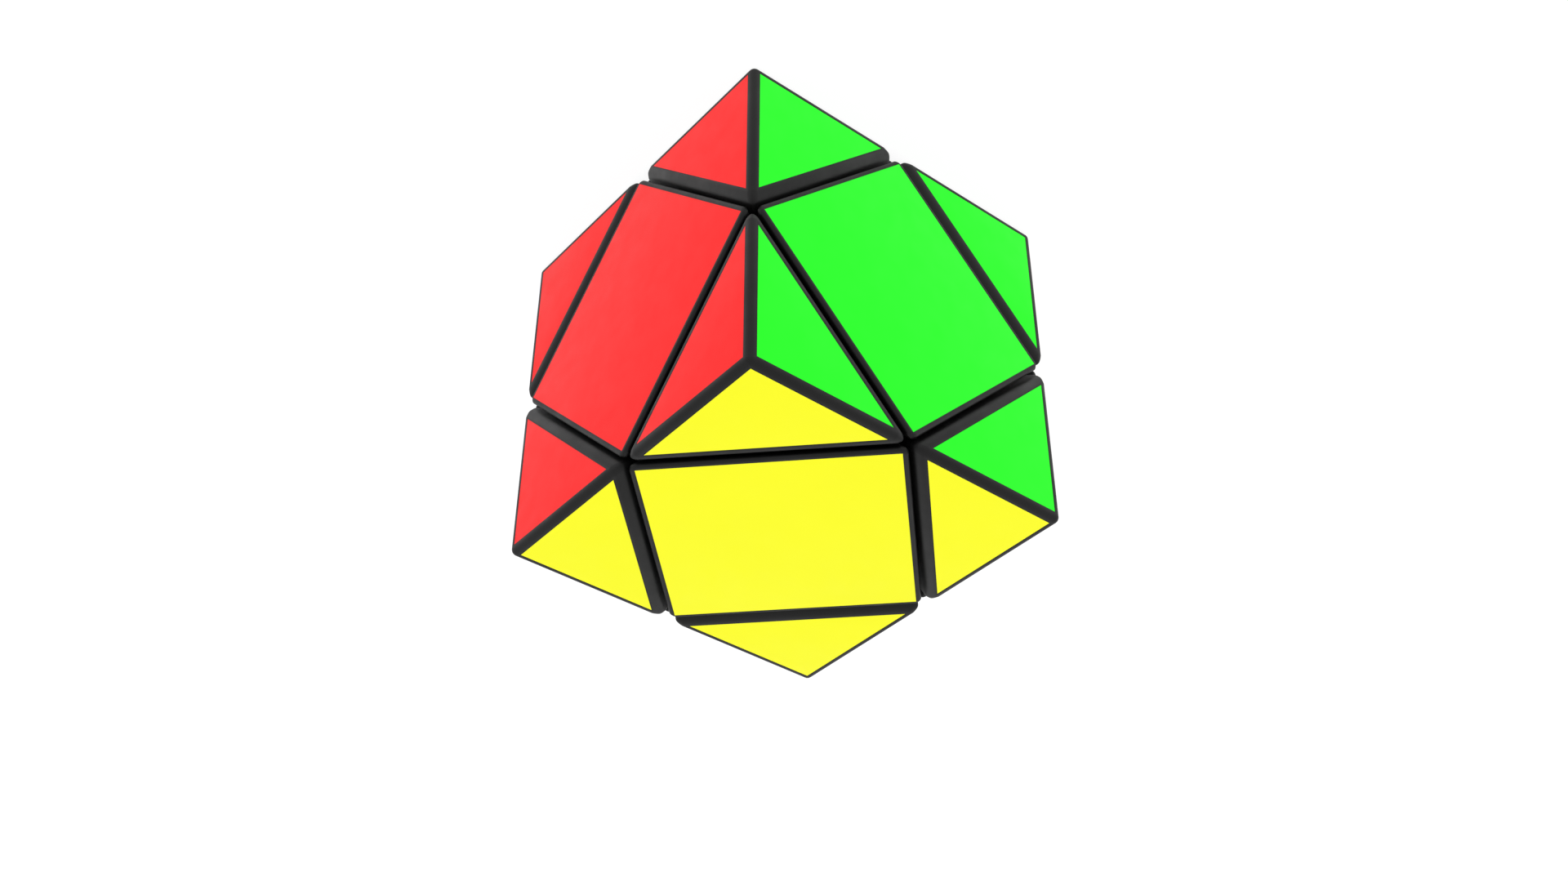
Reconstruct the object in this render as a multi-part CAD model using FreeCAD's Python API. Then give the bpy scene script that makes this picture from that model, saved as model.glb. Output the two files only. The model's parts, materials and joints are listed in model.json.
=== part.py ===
import FreeCAD, Part

import math
import os

from FreeCAD import Placement, Rotation, Vector

# A corner-turning cube puzzle. Four planes through the middle of the cube, each
# square to a body diagonal, cut it into eight corners and six square centres.
# Every cut turns as a half, about the diagonal that its plane is square to.
#
# Four of the corners are screwed to a core and carry the turning axes. Their
# shoulders hold down the wings of the centres, and the centres hold down the feet
# of the other four corners. All of these catches are surfaces of revolution about
# the four axes, so that a half can turn past them at any angle.
#
# Frame: X to the right, Y to the back, Z up, origin in the middle of the bottom
# face. All pieces are modelled about the cube's centre and lifted when exported.

# Driving dimensions, in millimetres and degrees
CUBE = 60.0                   # edge of the whole cube
CUT_GAP = 0.59                # width of the cuts between the outer pieces
ROUNDING = 1.05               # how far the rounded edges of a centre reach along its faces
CORNER_ROUND = 0.95           # edge radius of the corners

SHELL_WALL = 2.2              # wall of the hollow corners
SEAM_HEIGHT = 30.0            # from the cube's centre to the seam of a corner
SPIGOT_HEIGHT = 2.0           # rim of a foot that locates its shell
SPIGOT_WALL = 1.2
SPIGOT_PLAY = 0.05

PANEL_EDGE = 1.362            # black border around each coloured panel
CORNER_PANEL = 0.8            # thickness of the triangular panels
CENTRE_PANEL = 1.2            # thickness of the square panels
CENTRE_WALL = 2.2             # wall of the hollow centres
CENTRE_FLOOR = 20.6           # from the cube's centre to the floor of that hollow

CATCH_ANGLE = 96.0            # half angle of the conical catches about each axis
CATCH_RADIUS = 19.0           # sphere where wings and feet run under their holders
CATCH_PLAY = 0.1              # radial play at that sphere, each side
CATCH_GAP = 0.15              # play at the cones, each side
INNER_RADIUS = 11.0           # inner sphere of the wings and feet

CORE_RADIUS = 9.5
CORE_ARM_RADIUS = 2.2
CORE_ARM_END = 12.8
STEM_END = 13.0               # inner end of a screwed corner's stem

SCREW_RADIUS = 1.25
SCREW_TIP = 3.0               # from the cube's centre to the point of the screw
SCREW_POINT = 1.4             # length of the point
SCREW_POINT_RADIUS = 0.1      # of the point's blunt end, and of its hole's
CORE_HOLE_PLAY = 0.02
CORE_HOLE_SPARE = 0.5         # depth left under the point of the screw
STEM_HOLE_PLAY = 0.05
HEAD_RADIUS = 2.6
HEAD_HEIGHT = 1.8
HEAD_SEAT = 26.1              # from the cube's centre to the underside of the head
HEAD_SLOT_LENGTH = 3.4
HEAD_SLOT_WIDTH = 0.7
HEAD_SLOT_DEPTH = 1.0
WASHER_HEIGHT = 0.4
WASHER_PLAY = 0.05
CUP_RADIUS = 3.0              # bore that holds the spring
CUP_WALL = 1.3
CUP_FLOOR = 21.2              # from the cube's centre to the spring's seat
FOOT_FLOOR = 22.2             # the same to the floor of the hollow round the cup
SPRING_RADIUS = 2.1           # middle of the wire
SPRING_WIRE = 0.28            # radius of the wire
SPRING_TURNS = 5
SPRING_PLAY = 0.06

HALF = CUBE / 2
HALF_GAP = CUT_GAP / 2
CUT_LINE = HALF / math.sqrt(2)            # from a face's middle to its cuts
GAP_ON_FACE = HALF_GAP * math.sqrt(3 / 2)  # half a cut's width, along a face
WALL_TURN = math.acos(1 / 3)              # between two cuts beside a centre
FACE_TURN = math.pi - math.atan(math.sqrt(2))  # between a face and a cut of its centre
FAR = 4 * CUBE                            # larger than anything in the model
OVERRUN = 1.0                             # how far a cutting tool runs past its cut
NEAR = 0.01

TOP = Vector(0, 0, 1)
CORNER = Vector(1, -1, 1)     # the corner that corner pieces are modelled at
AXIS_CORNERS = [Vector(1, -1, 1), Vector(-1, 1, 1), Vector(1, 1, -1), Vector(-1, -1, -1)]
FREE_CORNERS = [corner * -1 for corner in AXIS_CORNERS]
FACES = {
    "right": (Vector(1, 0, 0), "red"),
    "left": (Vector(-1, 0, 0), "orange"),
    "back": (Vector(0, 1, 0), "blue"),
    "front": (Vector(0, -1, 0), "green"),
    "top": (Vector(0, 0, 1), "yellow"),
    "bottom": (Vector(0, 0, -1), "white"),
}


def beyond(normal, distance):
    """The half space further than distance from the cube's centre along normal."""
    direction = Vector(normal).normalize()
    block = Part.makeBox(2 * FAR, 2 * FAR, FAR, Vector(-FAR, -FAR, 0))
    block.Placement = Placement(direction * distance, Rotation(TOP, direction))
    return block


def moved(shape, placement):
    """A copy of a shape, moved from where it is."""
    copy = shape.copy()
    copy.Placement = placement.multiply(shape.Placement)
    return copy


def along(normal, shape):
    """A shape modelled about Z, laid along normal."""
    return moved(shape, Placement(Vector(), Rotation(TOP, normal)))


def turned(shape, corner, face):
    """A shape modelled at CORNER and TOP, turned to another corner and face."""
    diagonal = corner - face
    side = (diagonal + face.cross(diagonal)) * 0.5
    return moved(shape, Placement(Vector(), Rotation(side, face.cross(side), face, "ZXY")))


def tube(radius, low, high):
    """A cylinder about Z."""
    return Part.makeCylinder(radius, high - low, Vector(0, 0, low))


def catch_solid(radius, gap):
    """A ball's part inside the catch cone, whose wall is moved inwards by gap."""
    angle = math.radians(CATCH_ANGLE)
    apex = Vector(0, 0, gap / math.sin(angle))
    # The wall runs from the apex along the cone until it meets the ball.
    run = -apex.z * math.cos(angle) + math.sqrt(radius ** 2 - gap ** 2)
    rim = Vector(run * math.sin(angle), 0, apex.z + run * math.cos(angle))
    middle = math.atan2(rim.x, rim.z) / 2
    bulge = Vector(radius * math.sin(middle), 0, radius * math.cos(middle))
    pole = Vector(0, 0, radius)
    outline = Part.Wire([
        Part.makeLine(apex, rim),
        Part.Arc(rim, bulge, pole).toShape(),
        Part.makeLine(pole, apex),
    ])
    return Part.Face(outline).revolve(Vector(), TOP, 360)


def held_down(axis):
    """The space of the pieces that turn with axis and run under their holders."""
    return along(axis, catch_solid(CATCH_RADIUS - CATCH_PLAY, CATCH_GAP))


def cleared(axis):
    """The space that a holder leaves free for them."""
    return along(axis, catch_solid(CATCH_RADIUS + CATCH_PLAY, -CATCH_GAP))


def corner_block(inset, low=0.0, high=FAR):
    """The corner between its three cuts and three faces, all moved inwards."""
    size = HALF - inset
    block = Part.makeBox(2 * size, 2 * size, 2 * size, Vector(-size, -size, -size))
    for axis in AXIS_CORNERS[1:]:
        block = block.cut(beyond(axis, -HALF_GAP - inset))
    if low > 0:
        block = block.common(beyond(CORNER, low))
    if high < FAR:
        block = block.cut(beyond(CORNER, high))
    return block


def centre_block(inset, low, high):
    """The top centre between its four cuts, moved inwards, from low to high."""
    block = Part.makeBox(CUBE, CUBE, high - low, Vector(-HALF, -HALF, low))
    for axis in AXIS_CORNERS[:2]:
        block = block.common(beyond(axis, HALF_GAP + inset))
    for axis in AXIS_CORNERS[2:]:
        block = block.cut(beyond(axis, -HALF_GAP - inset))
    return block


def corner_panel():
    """A triangular panel on the top face."""
    edge = HALF - PANEL_EDGE
    block = Part.makeBox(2 * edge, 2 * edge, CORNER_PANEL, Vector(-edge, -edge, HALF - CORNER_PANEL))
    return block.common(beyond(CORNER - TOP, CUT_LINE + GAP_ON_FACE + PANEL_EDGE))


def centre_panel():
    """The square panel of the top face."""
    side = 2 * (CUT_LINE - GAP_ON_FACE - PANEL_EDGE)
    block = Part.makeBox(side, side, CENTRE_PANEL, Vector(-side / 2, -side / 2, 0))
    block.Placement = Placement(Vector(0, 0, HALF - CENTRE_PANEL), Rotation(TOP, 45))
    return block


def faces_of(corner):
    """The directions of the three faces that meet at a corner."""
    return [Vector(corner.x, 0, 0), Vector(0, corner.y, 0), Vector(0, 0, corner.z)]


def round_radius(turn):
    """The radius that rounds an edge by ROUNDING where the surface turns by this angle."""
    return ROUNDING / math.tan(turn / 2)


def rounded_corner():
    """The solid outside shape of a corner."""
    block = corner_block(0)
    return block.makeFillet(CORNER_ROUND, block.Edges)


def rounded_centre():
    """The solid outside shape of the top centre.

    All edges are rounded by the same width along their faces, so the radius
    depends on how far the surface turns there.
    """
    block = centre_block(0, 0, HALF)
    between_cuts = [edge for edge in block.Edges if edge.BoundBox.ZMin < HALF / 2]
    block = block.makeFillet(round_radius(WALL_TURN), between_cuts)
    around_face = [edge for edge in block.Edges if edge.BoundBox.ZMin > HALF - NEAR]
    return block.makeFillet(round_radius(FACE_TURN), around_face)


def corner_shell():
    """The hollow cap of a corner, open at the seam, with a recess for each panel."""
    shell = rounded_corner().common(beyond(CORNER, SEAM_HEIGHT))
    shell = shell.cut(corner_block(SHELL_WALL, SEAM_HEIGHT - OVERRUN))
    for face in faces_of(CORNER):
        shell = shell.cut(turned(corner_panel(), CORNER, face))
    return shell


def foot_rim():
    """The rim that stands up inside the shell, and the hollow within it."""
    outside = SHELL_WALL + SPIGOT_PLAY
    rim_top = SEAM_HEIGHT + SPIGOT_HEIGHT
    rim = corner_block(outside, FOOT_FLOOR, rim_top)
    hollow = corner_block(outside + SPIGOT_WALL, FOOT_FLOOR, rim_top + OVERRUN)
    return rim, hollow


def axis_foot():
    """The inside of a screwed corner: shoulders, stem and the spring's cup."""
    foot = rounded_corner().cut(beyond(CORNER, SEAM_HEIGHT))
    for axis in AXIS_CORNERS[1:]:
        foot = foot.cut(cleared(axis))
    foot = foot.common(beyond(CORNER, STEM_END))
    rim, hollow = foot_rim()
    cup = along(CORNER, tube(CUP_RADIUS + CUP_WALL, CUP_FLOOR, SEAM_HEIGHT))
    foot = foot.fuse(rim).cut(hollow.cut(cup))
    bore = tube(SCREW_RADIUS + STEM_HOLE_PLAY, 0, CUBE).fuse(tube(CUP_RADIUS, CUP_FLOOR, CUBE))
    return foot.cut(along(CORNER, bore))


def free_foot():
    """The inside of a free corner, whose foot runs under three centres.

    A free corner turns with the axes of the three corners next to it. Those lie
    opposite the other three corners that AXIS_CORNERS lists.
    """
    foot = rounded_corner().cut(beyond(CORNER, SEAM_HEIGHT))
    wings = held_down(AXIS_CORNERS[1] * -1)
    for opposite in AXIS_CORNERS[2:]:
        wings = wings.common(held_down(opposite * -1))
    rim, hollow = foot_rim()
    foot = foot.fuse(wings).fuse(rim).cut(hollow)
    return foot.cut(Part.makeSphere(INNER_RADIUS))


def centre_base():
    """The top centre without its panel: a hollow box with wings and undercuts."""
    wings = held_down(AXIS_CORNERS[0]).common(held_down(AXIS_CORNERS[1]))
    base = rounded_centre().fuse(wings)
    for axis in AXIS_CORNERS[2:]:
        base = base.cut(cleared(axis))
    # The ball's poles lie along CORNER, outside the base, so that none is on its surface.
    base = base.cut(along(CORNER, Part.makeSphere(INNER_RADIUS)))
    base = base.cut(centre_block(CENTRE_WALL, CENTRE_FLOOR, HALF))
    return base.cut(centre_panel())


def core():
    """The ball with four arms that the screws hold in."""
    spider = along(CORNER, Part.makeSphere(CORE_RADIUS))
    for axis in AXIS_CORNERS:
        spider = spider.fuse(along(axis, tube(CORE_ARM_RADIUS, 0, CORE_ARM_END)))
    radius = SCREW_RADIUS + CORE_HOLE_PLAY
    bottom = SCREW_TIP - CORE_HOLE_SPARE
    hole = tube(radius, bottom + SCREW_POINT, CUBE)
    point = Part.makeCone(SCREW_POINT_RADIUS, radius, SCREW_POINT, Vector(0, 0, bottom))
    for axis in AXIS_CORNERS:
        spider = spider.cut(along(axis, hole.fuse(point)))
    return spider


def screw():
    """A pan head screw along Z, with a cross recess."""
    head_top = HEAD_SEAT + HEAD_HEIGHT
    head = tube(HEAD_RADIUS, HEAD_SEAT, head_top)
    crown = [edge for edge in head.Edges if edge.BoundBox.ZMin > head_top - NEAR]
    body = head.makeFillet(HEAD_HEIGHT / 2, crown)
    body = body.fuse(tube(SCREW_RADIUS, SCREW_TIP + SCREW_POINT, HEAD_SEAT))
    body = body.fuse(Part.makeCone(SCREW_POINT_RADIUS, SCREW_RADIUS, SCREW_POINT, Vector(0, 0, SCREW_TIP)))
    for x, y in ((HEAD_SLOT_LENGTH, HEAD_SLOT_WIDTH), (HEAD_SLOT_WIDTH, HEAD_SLOT_LENGTH)):
        start = Vector(-x / 2, -y / 2, head_top - HEAD_SLOT_DEPTH)
        body = body.cut(Part.makeBox(x, y, HEAD_HEIGHT, start))
    return body.removeSplitter()


def washer():
    """The washer between a spring and its screw's head, along Z."""
    top = HEAD_SEAT - WASHER_PLAY
    ring = tube(HEAD_RADIUS, top - WASHER_HEIGHT, top)
    return ring.cut(tube(SCREW_RADIUS + STEM_HOLE_PLAY, 0, CUBE))


def spring():
    """The compression spring between cup and washer, along Z."""
    low = CUP_FLOOR + SPRING_PLAY + SPRING_WIRE
    high = HEAD_SEAT - WASHER_PLAY - WASHER_HEIGHT - SPRING_PLAY - SPRING_WIRE
    helix = Part.makeHelix((high - low) / SPRING_TURNS, high - low, SPRING_RADIUS)
    profile = Part.Wire([Part.makeCircle(SPRING_WIRE, Vector(SPRING_RADIUS, 0, 0), Vector(0, 1, 0))])
    coil = Part.Wire(helix.Edges).makePipeShell([profile], True, True)
    coil.translate(Vector(0, 0, low))
    return coil


def place_name(corner):
    """A corner's place in words, such as top_front_right."""
    words = ["top" if corner.z > 0 else "bottom"]
    words.append("back" if corner.y > 0 else "front")
    words.append("right" if corner.x > 0 else "left")
    return "_".join(words)


def at_corner(shape, corner):
    """A corner piece turned to another corner."""
    return turned(shape, corner, Vector(0, 0, corner.z))


def export(name, *shapes):
    """Lift the shapes so that the cube stands on Z = 0, and write them as one node."""
    lifted = [moved(shape, Placement(Vector(0, 0, HALF), Rotation())) for shape in shapes]
    result = lifted[0] if len(lifted) == 1 else Part.makeCompound(lifted)
    result.exportStep(os.path.join("parts", name + ".step"))


def make_mechanism():
    """The core and what fastens the four axis corners to it."""
    export("core_spider", core())
    shaft = along(CORNER, screw())
    for corner in AXIS_CORNERS:
        export("tension_screw_" + place_name(corner), at_corner(shaft, corner))
    for name, shape in (("tension_springs", spring()), ("spring_washers", washer())):
        laid = along(CORNER, shape)
        export(name, *[at_corner(laid, corner) for corner in AXIS_CORNERS])


def make_corners():
    """A foot and a shell for each corner, with a panel on each of its faces."""
    shell = corner_shell()
    panel = corner_panel()
    kinds = (("axis_corner_foot_", axis_foot(), AXIS_CORNERS),
             ("free_corner_foot_", free_foot(), FREE_CORNERS))
    for prefix, foot, corners in kinds:
        for corner in corners:
            place = place_name(corner)
            export(prefix + place, at_corner(foot, corner))
            export("corner_shell_" + place, at_corner(shell, corner))
            for face, colour in FACES.values():
                if face in faces_of(corner):
                    export(colour + "_panel_" + place, turned(panel, corner, face))


def make_centres():
    """A base and a square panel for each face."""
    base = centre_base()
    panel = centre_panel()
    for side, (face, colour) in FACES.items():
        # Centres are turned with an axis corner, which keeps wings and undercuts apart.
        corner = next(corner for corner in AXIS_CORNERS if face in faces_of(corner))
        export("centre_base_" + side, turned(base, corner, face))
        export(colour + "_centre_panel", turned(panel, corner, face))


os.makedirs("parts", exist_ok=True)
make_mechanism()
make_corners()
make_centres()
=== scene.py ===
import json
import math
from itertools import combinations

import bmesh
import bpy
from mathutils import Matrix, Vector


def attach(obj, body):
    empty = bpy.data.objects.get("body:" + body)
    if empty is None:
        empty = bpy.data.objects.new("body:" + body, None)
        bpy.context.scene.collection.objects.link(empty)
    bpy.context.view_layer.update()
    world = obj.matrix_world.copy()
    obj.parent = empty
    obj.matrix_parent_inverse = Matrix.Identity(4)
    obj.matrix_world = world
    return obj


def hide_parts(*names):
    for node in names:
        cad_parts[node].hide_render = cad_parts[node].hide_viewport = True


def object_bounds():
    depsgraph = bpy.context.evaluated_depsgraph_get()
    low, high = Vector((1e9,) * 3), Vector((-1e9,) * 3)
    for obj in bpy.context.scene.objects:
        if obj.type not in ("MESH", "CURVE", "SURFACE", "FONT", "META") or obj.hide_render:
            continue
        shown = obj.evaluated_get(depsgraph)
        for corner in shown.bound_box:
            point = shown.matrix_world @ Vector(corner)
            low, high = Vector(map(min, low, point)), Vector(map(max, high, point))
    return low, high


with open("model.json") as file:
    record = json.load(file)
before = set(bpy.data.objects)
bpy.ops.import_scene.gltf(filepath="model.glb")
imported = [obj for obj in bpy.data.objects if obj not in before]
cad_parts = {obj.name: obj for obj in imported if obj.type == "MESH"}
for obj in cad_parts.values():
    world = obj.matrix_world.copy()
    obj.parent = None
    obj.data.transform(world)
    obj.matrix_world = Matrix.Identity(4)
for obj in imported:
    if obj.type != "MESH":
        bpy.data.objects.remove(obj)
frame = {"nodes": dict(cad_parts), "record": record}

# The looks of a corner-turning cube puzzle. The corner shells and all coloured panels
# are rebuilt here with fine edges; the centres and the mechanism stay as they come from
# the CAD model. Pieces are modelled about the cube's centre, at one corner and on the
# top face, and then turned to their places. Lengths are in metres.

cad_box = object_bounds()
CUBE_LOW, CUBE_HIGH = (Vector(corner) for corner in cad_box)
CENTRE = (CUBE_LOW + CUBE_HIGH) / 2
HALF = (CUBE_HIGH.x - CUBE_LOW.x) / 2

MM = 0.001
HALF_GAP = 0.295 * MM          # half the width of a cut
BEVEL = 1.05 * MM              # how far a shell's rounded edges reach along its faces
BEVEL_SEGMENTS = 8
SHELL_WALL = 2.2 * MM          # wall of the hollow corner shells
SEAM_HEIGHT = 30 * MM          # from the cube's centre to a corner's seam
BLOCK_START = 20 * MM          # where the blocks start that the seam is cut from
PANEL_EDGE = 1.362 * MM        # black border around each panel
CORNER_PANEL = 0.8 * MM        # thickness of the triangular panels
CENTRE_PANEL = 1.2 * MM        # thickness of the square panels
PANEL_PLAY = 0.015 * MM        # hairline between a panel and its recess
PANEL_BEVEL = 0.05 * MM        # how far a panel's rounded edges reach along its faces
PANEL_BEVEL_SEGMENTS = 3
OVERRUN = 1 * MM               # how far a recess's cutter stands out of the face
ROUND_PROFILE = 0.5            # Blender's number for an edge rounded to an arc
CREASE_ANGLE = 30.0            # edges that turn further, in degrees, stay crisp
NEAR = 1e-4 * MM               # points closer than this are one
PARALLEL = 1e-6                # determinant of three planes that don't meet in a point
FLAT_ANGLE = 0.01              # faces that turn less, in radians, are one

CUT_LINE = HALF / math.sqrt(2)              # from a face's middle to its cuts
PANEL_INSET = PANEL_EDGE + HALF_GAP * math.sqrt(3 / 2)   # from there to the panels

TOP = Vector((0, 0, 1))
CORNER = Vector((1, -1, 1))    # the corner that corner pieces are modelled at
AXIS_CORNERS = [Vector(c) for c in ((1, -1, 1), (-1, 1, 1), (1, 1, -1), (-1, -1, -1))]
FREE_CORNERS = [-corner for corner in AXIS_CORNERS]
FACES = {
    "right": (Vector((1, 0, 0)), "red"),
    "left": (Vector((-1, 0, 0)), "orange"),
    "back": (Vector((0, 1, 0)), "blue"),
    "front": (Vector((0, -1, 0)), "green"),
    "top": (Vector((0, 0, 1)), "yellow"),
    "bottom": (Vector((0, 0, -1)), "white"),
}


# ---------------------------------------------------------------- shapes

def half_space(normal, distance):
    """The space up to distance along normal, as a unit normal and that distance."""
    return Vector(normal).normalized(), distance


def convex_mesh(spaces):
    """The solid that the half spaces have in common, with one polygon to each face."""
    points = []
    for (a, da), (b, db), (c, dc) in combinations(spaces, 3):
        rows = Matrix((a, b, c))
        if abs(rows.determinant()) < PARALLEL:
            continue
        point = rows.inverted() @ Vector((da, db, dc))
        inside = all(normal.dot(point) <= distance + NEAR for normal, distance in spaces)
        if inside and all((point - other).length > NEAR for other in points):
            points.append(point)
    mesh = bmesh.new()
    for point in points:
        mesh.verts.new(point)
    bmesh.ops.convex_hull(mesh, input=mesh.verts)
    bmesh.ops.dissolve_limit(mesh, angle_limit=FLAT_ANGLE, verts=mesh.verts, edges=mesh.edges)
    bmesh.ops.recalc_face_normals(mesh, faces=mesh.faces)
    return mesh


def to_object(name, mesh):
    """A bmesh as an object."""
    data = bpy.data.meshes.new(name)
    mesh.to_mesh(data)
    mesh.free()
    made = bpy.data.objects.new(name, data)
    bpy.context.collection.objects.link(made)
    return made


def discard(*things):
    """Remove helper objects and their meshes."""
    for thing in things:
        data = thing.data
        bpy.data.objects.remove(thing)
        bpy.data.meshes.remove(data)


def cut_away(target, cutters):
    """Take the cutters out of the target's mesh, and remove them."""
    for cutter in cutters:
        boolean = target.modifiers.new("cut", "BOOLEAN")
        boolean.operation = "DIFFERENCE"
        boolean.solver = "EXACT"
        boolean.object = cutter
    bpy.context.view_layer.update()
    depsgraph = bpy.context.evaluated_depsgraph_get()
    result = bpy.data.meshes.new_from_object(target.evaluated_get(depsgraph))
    target.modifiers.clear()
    old = target.data
    target.data = result
    bpy.data.meshes.remove(old)
    discard(*cutters)


def faces_of(corner):
    """The directions and colours of the three faces that meet at a corner."""
    return [(face, colour) for face, colour in FACES.values() if face.dot(corner) > 0]


def corner_spaces(inset, low):
    """The corner between its faces and its three cuts, moved inwards by inset."""
    spaces = [half_space(face, HALF - inset) for face, _ in faces_of(CORNER)]
    spaces += [half_space(axis, -HALF_GAP - inset) for axis in AXIS_CORNERS[1:]]
    spaces.append(half_space(-CORNER, -low))
    return spaces


def corner_panel_spaces(grow, height):
    """The triangular panel of CORNER's top face, grown sideways and up to a height."""
    edge = HALF - PANEL_EDGE + grow
    return [half_space((1, 0, 0), edge),
            half_space((0, -1, 0), edge),
            half_space((-1, 1, 0), -(CUT_LINE + PANEL_INSET - grow)),
            half_space((0, 0, 1), height),
            half_space((0, 0, -1), -(HALF - CORNER_PANEL))]


def centre_panel_spaces():
    """The square panel of the top face."""
    reach = CUT_LINE - PANEL_INSET
    sides = [half_space((x, y, 0), reach) for x in (-1, 1) for y in (-1, 1)]
    return sides + [half_space((0, 0, 1), HALF),
                    half_space((0, 0, -1), -(HALF - CENTRE_PANEL))]


def bevelled(mesh, edges, width, segments):
    """Round the given edges, all by the same width along their faces."""
    bmesh.ops.bevel(mesh, geom=edges, offset=width, offset_type="OFFSET", segments=segments,
                    profile=ROUND_PROFILE, affect="EDGES", clamp_overlap=False)


def turn_to(corner, face):
    """The rotation that takes CORNER and TOP to another corner and face."""
    diagonal = corner - face
    side = (diagonal + face.cross(diagonal)) / 2
    return Matrix((side, face.cross(side), face)).transposed().to_4x4()


def placed(name, source, corner, face):
    """A copy of a mesh, turned to its corner and face and moved to the cube's centre."""
    data = source.copy()
    data.transform(Matrix.Translation(CENTRE) @ turn_to(corner, face))
    data.name = name
    made = bpy.data.objects.new(name, data)
    bpy.context.collection.objects.link(made)
    return made


def corner_shell_mesh():
    """A corner's hollow shell with rounded edges, recesses for its panels and a seam."""
    mesh = convex_mesh(corner_spaces(0, BLOCK_START))
    along = CORNER.normalized()
    start = BLOCK_START + NEAR
    outer = [e for e in mesh.edges if max(v.co.dot(along) for v in e.verts) > start]
    bevelled(mesh, outer, BEVEL, BEVEL_SEGMENTS)
    everything = mesh.verts[:] + mesh.edges[:] + mesh.faces[:]
    bmesh.ops.bisect_plane(mesh, geom=everything, plane_co=along * SEAM_HEIGHT,
                           plane_no=along, clear_inner=True)
    bmesh.ops.holes_fill(mesh, edges=[e for e in mesh.edges if e.is_boundary], sides=0)
    bmesh.ops.recalc_face_normals(mesh, faces=mesh.faces)
    shell = to_object("shell", mesh)
    hollow = corner_spaces(SHELL_WALL, SEAM_HEIGHT - SHELL_WALL)
    cutters = [to_object("hollow", convex_mesh(hollow))]
    recess = convex_mesh(corner_panel_spaces(PANEL_PLAY, HALF + OVERRUN))
    for face, _ in faces_of(CORNER):
        copy = recess.copy()
        copy.transform(turn_to(CORNER, face))
        cutters.append(to_object("recess", copy))
    recess.free()
    cut_away(shell, cutters)
    data = shell.data
    bpy.data.objects.remove(shell)
    return data


def panel_mesh(spaces):
    """A flat panel with a fine edge all round."""
    mesh = convex_mesh(spaces)
    bevelled(mesh, mesh.edges[:], PANEL_BEVEL, PANEL_BEVEL_SEGMENTS)
    data = bpy.data.meshes.new("panel")
    mesh.to_mesh(data)
    mesh.free()
    return data


def smoothed(data):
    """The same mesh with smooth shading and crisp creases."""
    data.shade_smooth()
    data.set_sharp_from_angle(angle=math.radians(CREASE_ANGLE))
    return data


# ---------------------------------------------------------------- materials

# A noise of scale S has patches about 1 / S metres across.
NOISE_DETAIL = 2.0
NOISE_LOW = 0.3                # nearly all of the noise lies between these two
NOISE_HIGH = 0.7
GRAIN_DETAIL = 3.0
GRAIN_STRENGTH = 1.0
PLASTIC_TONE_SCALE = 90.0
PLASTIC_GLOSS_SCALE = 260.0
STEEL_TONE_SCALE = 700.0
STEEL_TONE_DRIFT = 0.15
STEEL_GLOSS_SCALE = 1500.0
STEEL_GLOSS_SPREAD = 0.06
STEEL_GRAIN_SCALE = 4000.0
STEEL_GRAIN_HEIGHT = 0.003 * MM
BODY_SPECULAR = 0.235
PANEL_SPECULAR = 0.12
PANEL_COLOURS = {
    "red": (0.95, 0.023, 0.023),
    "orange": (0.95, 0.22, 0.018),
    "blue": (0.018, 0.070, 0.80),
    "green": (0.018, 0.95, 0.018),
    "yellow": (0.95, 0.95, 0.018),
    "white": (0.86, 0.86, 0.85),
}


def new_material(name):
    """An empty node material and its Principled shader."""
    material = bpy.data.materials.new(name)
    material.use_nodes = True
    tree = material.node_tree
    shader = next(n for n in tree.nodes if n.type == "BSDF_PRINCIPLED")
    return material, tree, shader


def node(tree, kind, **values):
    """A node whose properties and inputs are set by name."""
    made = tree.nodes.new(kind)
    for name, value in values.items():
        if hasattr(made, name):
            setattr(made, name, value)
        else:
            made.inputs[name.replace("_", " ")].default_value = value
    return made


def noise(tree, scale, detail=NOISE_DETAIL):
    """Noise in the piece's own metres."""
    place = node(tree, "ShaderNodeTexCoord")
    made = node(tree, "ShaderNodeTexNoise", Scale=scale, Detail=detail)
    tree.links.new(place.outputs["Object"], made.inputs["Vector"])
    return made


def mapped(tree, source, low, high):
    """Noise stretched to run between two values."""
    made = node(tree, "ShaderNodeMapRange", clamp=True, From_Min=NOISE_LOW, From_Max=NOISE_HIGH,
                To_Min=low, To_Max=high)
    tree.links.new(source.outputs["Fac"], made.inputs["Value"])
    return made


def varied_colour(tree, shader, colour, drift, scale):
    """A base colour that is darker in soft patches, by up to drift of itself."""
    mix = node(tree, "ShaderNodeMix", data_type="RGBA")
    darker = [c * (1 - drift) for c in colour]
    mix.inputs["A"].default_value = (*darker, 1)
    mix.inputs["B"].default_value = (*colour, 1)
    factor = mapped(tree, noise(tree, scale), 0, 1)
    tree.links.new(factor.outputs["Result"], mix.inputs["Factor"])
    tree.links.new(mix.outputs["Result"], shader.inputs["Base Color"])


def varied_gloss(tree, shader, roughness, spread, scale):
    """A roughness that varies in soft patches, by up to spread each way."""
    gloss = mapped(tree, noise(tree, scale), roughness - spread, roughness + spread)
    tree.links.new(gloss.outputs["Result"], shader.inputs["Roughness"])


def grained(tree, shader, scale, height):
    """A fine grain in the surface."""
    bump = node(tree, "ShaderNodeBump", Strength=GRAIN_STRENGTH, Distance=height)
    tree.links.new(noise(tree, scale, GRAIN_DETAIL).outputs["Fac"], bump.inputs["Height"])
    tree.links.new(bump.outputs["Normal"], shader.inputs["Normal"])


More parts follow.
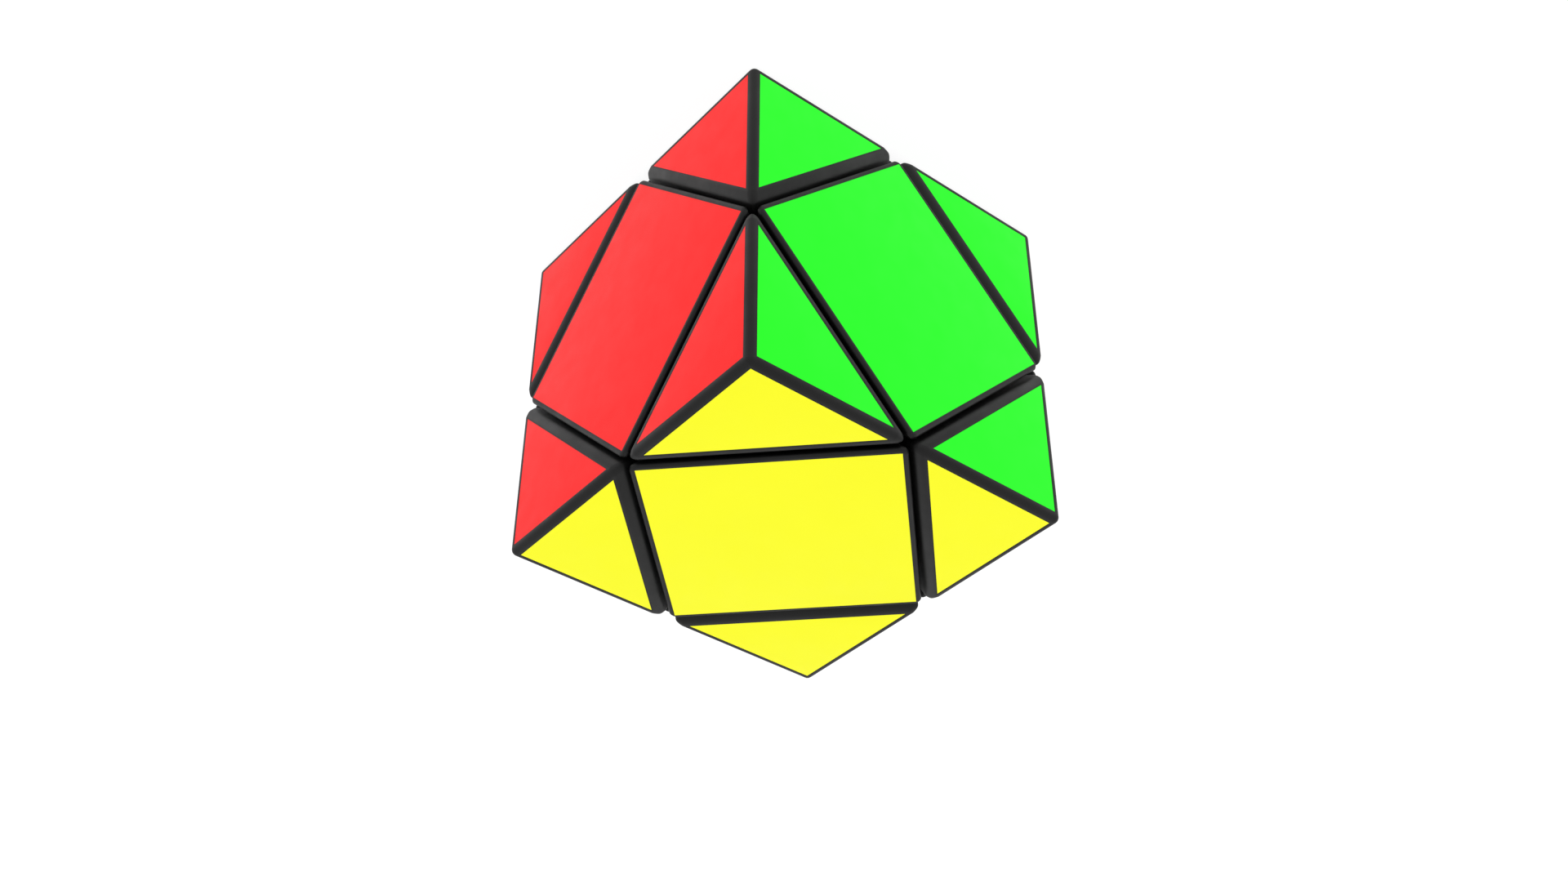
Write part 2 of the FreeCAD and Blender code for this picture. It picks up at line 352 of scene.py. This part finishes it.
def plastic(name, colour, drift, specular, roughness, spread, grain_scale, grain_height):
    """Moulded plastic: drifting tone, uneven gloss and a fine grain."""
    material, tree, shader = new_material(name)
    varied_colour(tree, shader, colour, drift, PLASTIC_TONE_SCALE)
    varied_gloss(tree, shader, roughness, spread, PLASTIC_GLOSS_SCALE)
    grained(tree, shader, grain_scale, grain_height)
    shader.inputs["Specular IOR Level"].default_value = specular
    return material


def steel(name, colour, roughness):
    """Plated steel: drifting tone, uneven gloss and a fine grain."""
    material, tree, shader = new_material(name)
    varied_colour(tree, shader, colour, STEEL_TONE_DRIFT, STEEL_TONE_SCALE)
    varied_gloss(tree, shader, roughness, STEEL_GLOSS_SPREAD, STEEL_GLOSS_SCALE)
    grained(tree, shader, STEEL_GRAIN_SCALE, STEEL_GRAIN_HEIGHT)
    shader.inputs["Metallic"].default_value = 1.0
    return material


def panel_plastic(name, colour):
    """The smooth coloured plastic of the panels."""
    return plastic(name, colour, drift=0.015, specular=PANEL_SPECULAR, roughness=0.55,
                   spread=0.04, grain_scale=2600.0, grain_height=0.0015 * MM)


def make_materials():
    """One material for each of the record's slots."""
    made = {
        "black_plastic": plastic("black_plastic", (0.003, 0.003, 0.003), drift=0.3,
                                 specular=BODY_SPECULAR, roughness=0.46, spread=0.05,
                                 grain_scale=5200.0, grain_height=0.004 * MM),
        "core_plastic": plastic("core_plastic", (0.55, 0.54, 0.50), drift=0.04,
                                specular=BODY_SPECULAR, roughness=0.35, spread=0.05,
                                grain_scale=3000.0, grain_height=0.003 * MM),
        "screw_steel": steel("screw_steel", (0.50, 0.50, 0.52), roughness=0.28),
        "spring_steel": steel("spring_steel", (0.42, 0.42, 0.44), roughness=0.32),
        "washer_steel": steel("washer_steel", (0.55, 0.55, 0.56), roughness=0.25),
    }
    for colour, value in PANEL_COLOURS.items():
        slot = colour + "_panel"
        made[slot] = panel_plastic(slot, value)
    return made


def finish_with(piece, material):
    """Give a piece one material."""
    piece.data.materials.clear()
    piece.data.materials.append(material)


# ---------------------------------------------------------------- pieces

def place_name(corner):
    """A corner's place in words, as the CAD nodes have it."""
    words = ["top" if corner.z > 0 else "bottom"]
    words.append("back" if corner.y > 0 else "front")
    words.append("right" if corner.x > 0 else "left")
    return "_".join(words)


def add_piece(piece, body, replaced, slot):
    """Hand a new piece to its body, in place of its CAD node, with its slot's material."""
    finish_with(piece, materials[slot])
    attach(piece, body)
    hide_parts(replaced)


def make_corners():
    """The eight shells and their panels."""
    shell = smoothed(corner_shell_mesh())
    panel = smoothed(panel_mesh(corner_panel_spaces(0, HALF)))
    for corner in AXIS_CORNERS + FREE_CORNERS:
        place = place_name(corner)
        body = "corner_" + place
        piece = placed("moulded_shell_" + place, shell, corner, Vector((0, 0, corner.z)))
        add_piece(piece, body, "corner_shell_" + place, "black_plastic")
        for face, colour in faces_of(corner):
            piece = placed(colour + "_tile_" + place, panel, corner, face)
            add_piece(piece, body, colour + "_panel_" + place, colour + "_panel")
    bpy.data.meshes.remove(shell)
    bpy.data.meshes.remove(panel)


def make_centre_panels():
    """The six square panels."""
    panel = smoothed(panel_mesh(centre_panel_spaces()))
    for side, (face, colour) in FACES.items():
        corner = next(c for c in AXIS_CORNERS if face.dot(c) > 0)
        piece = placed(colour + "_square_tile", panel, corner, face)
        add_piece(piece, "centre_" + side, colour + "_centre_panel", colour + "_panel")
    bpy.data.meshes.remove(panel)


def finish_cad_nodes():
    """Better materials on the CAD nodes that stay."""
    slots = {part["node"]: part["material_slot"] for part in frame["record"]["subparts"]}
    for name, piece in frame["nodes"].items():
        finish_with(piece, materials[slots[name]])


# ---------------------------------------------------------------- stage

CAMERA_PLACE = Vector((148.081, -183.289, 194.899)) * MM     # from the cube's centre
CAMERA_FORWARD = Vector((-0.49618, 0.61256, -0.61528))
CAMERA_LENS = 43.2555          # in millimetres, on a sensor 36 mm wide
CAMERA_SENSOR = 36.0
CAMERA_ROLL = math.pi          # the photographed cube has its top face at the bottom
CAMERA_NEAR = 10 * MM          # nothing closer than this is rendered
WORLD_LIGHT = 1.05
FLOOR_SIZE = 6.0
FLOOR_COLOUR = 0.15
FLOOR_GLOW = 0.90
FLOOR_ROUGHNESS = 0.9


def make_camera():
    """The camera at the photograph's viewing angle."""
    data = bpy.data.cameras.new("camera")
    data.lens = CAMERA_LENS
    data.sensor_width = CAMERA_SENSOR
    data.clip_start = CAMERA_NEAR
    camera = bpy.data.objects.new("camera", data)
    upright = CAMERA_FORWARD.to_track_quat("-Z", "Y").to_matrix().to_4x4()
    camera.matrix_world = (Matrix.Translation(CENTRE + CAMERA_PLACE) @ upright
                           @ Matrix.Rotation(CAMERA_ROLL, 4, "Z"))
    bpy.context.collection.objects.link(camera)
    bpy.context.scene.camera = camera


def make_floor():
    """A plain floor that is white mostly by its own glow, so that it takes little shadow."""
    mesh = bmesh.new()
    bmesh.ops.create_grid(mesh, x_segments=1, y_segments=1, size=FLOOR_SIZE / 2)
    floor = to_object("floor", mesh)
    floor.location.z = CUBE_LOW.z
    material, tree, shader = new_material("floor")
    shader.inputs["Base Color"].default_value = (FLOOR_COLOUR, FLOOR_COLOUR, FLOOR_COLOUR, 1)
    shader.inputs["Roughness"].default_value = FLOOR_ROUGHNESS
    shader.inputs["Emission Color"].default_value = (1, 1, 1, 1)
    shader.inputs["Emission Strength"].default_value = FLOOR_GLOW
    finish_with(floor, material)


def make_light():
    """Even white light from all round."""
    world = bpy.data.worlds.new("studio")
    world.use_nodes = True
    background = world.node_tree.nodes["Background"]
    background.inputs["Color"].default_value = (1, 1, 1, 1)
    background.inputs["Strength"].default_value = WORLD_LIGHT
    bpy.context.scene.world = world
    bpy.context.scene.view_settings.view_transform = "Standard"


make_camera()
make_floor()
make_light()
materials = make_materials()
finish_cad_nodes()
make_corners()
make_centre_panels()
